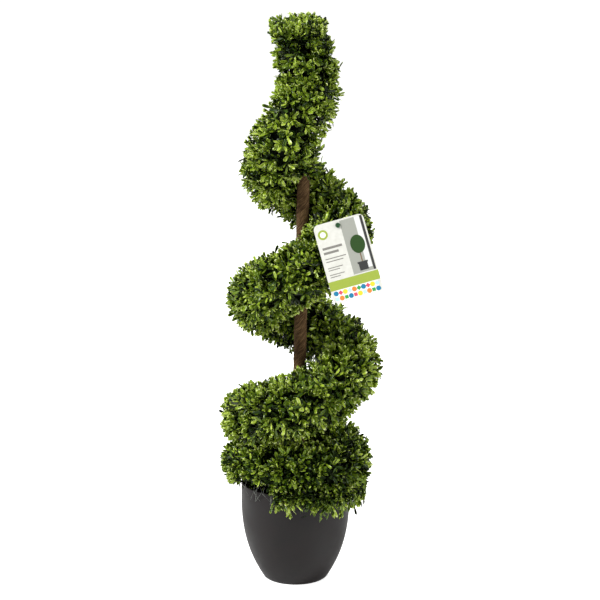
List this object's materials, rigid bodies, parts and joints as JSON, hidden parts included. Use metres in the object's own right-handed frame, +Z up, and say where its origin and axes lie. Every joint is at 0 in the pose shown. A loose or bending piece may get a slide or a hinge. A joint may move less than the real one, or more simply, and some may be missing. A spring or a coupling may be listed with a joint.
{
  "type": "artificial spiral topiary in planter",
  "caption": "Artificial boxwood spiral topiary: a thick leafy strand wound up a brown pole, set in a dark round plastic planter, with a hang card.",
  "frame": {"origin": "middle of the planter's flat underside", "axes": "+Z up along the planter's axis, +Y to the back, +X to the right as seen from the front"},
  "size_m": [0.2804, 0.2793, 1.0053],
  "materials": {
    "planter_plastic": "satin moulded plastic",
    "filling": "rough cast filling",
    "pole_wood": "rough brown fibre wrap",
    "card": "satin coated card",
    "tie_plastic": "gloss",
    "foliage": "satin moulded leaves"
  },
  "bodies": {
    "root": {"planter": "planter_plastic", "filling": "filling", "pole": "pole_wood", "tag_card": "card", "tag_tie": "tie_plastic", "foliage_base_left": "foliage", "foliage_base_front": "foliage", "foliage_base_right": "foliage", "foliage_base_back": "foliage", "foliage_lower_left": "foliage", "foliage_lower_front": "foliage", "foliage_lower_right": "foliage", "foliage_lower_back": "foliage", "foliage_upper_left": "foliage", "foliage_upper_front": "foliage", "foliage_upper_right": "foliage", "foliage_upper_back": "foliage", "foliage_top_left": "foliage", "foliage_top_front": "foliage", "foliage_crown": "foliage"}
  },
  "joints": []
}
